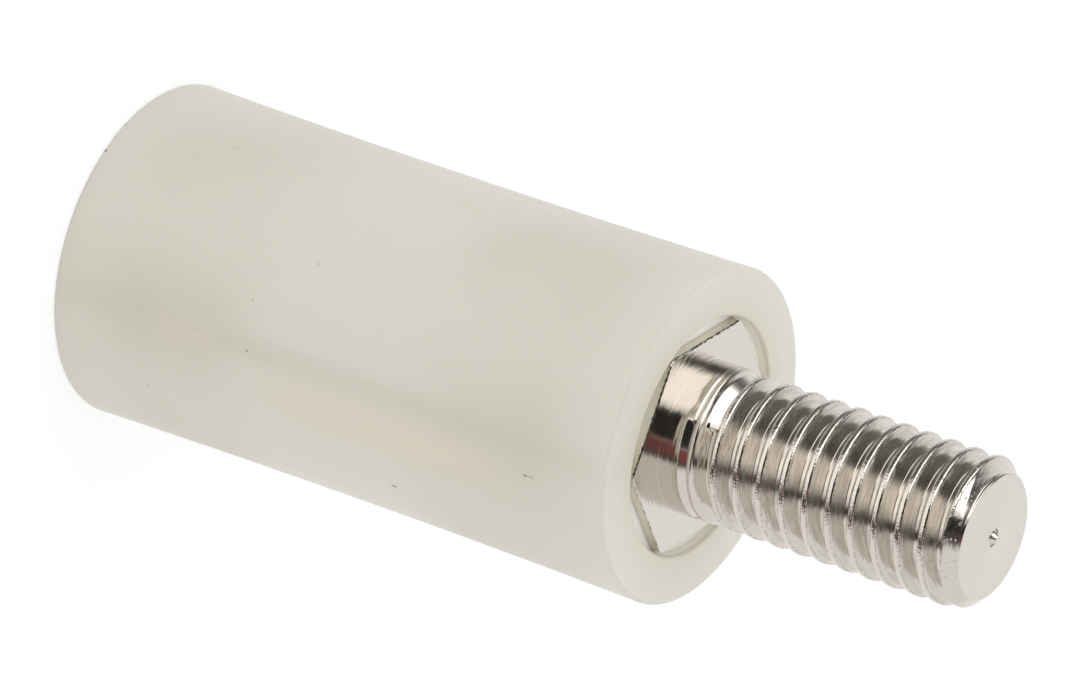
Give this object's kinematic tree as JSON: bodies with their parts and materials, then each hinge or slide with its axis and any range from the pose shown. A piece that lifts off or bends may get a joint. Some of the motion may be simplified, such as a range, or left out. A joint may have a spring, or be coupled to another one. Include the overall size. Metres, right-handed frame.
{
  "type": "insulated standoff",
  "caption": "Round insulating standoff: nylon body moulded on hexagonal plated metal inserts, with a threaded stud at one end and a blind tapped hole at the other.",
  "frame": {"origin": "centre of the body's end face on the tapped side, on which the part stands", "axes": "+Z along the axis towards the stud, +X through a corner of both hexagons"},
  "size_m": [0.0131, 0.013, 0.0379],
  "materials": {
    "nylon": "satin",
    "nickel_plate": "polished"
  },
  "bodies": {
    "root": {"nylon_body": "nylon", "stud_insert": "nickel_plate", "tapped_insert": "nickel_plate"}
  },
  "joints": []
}
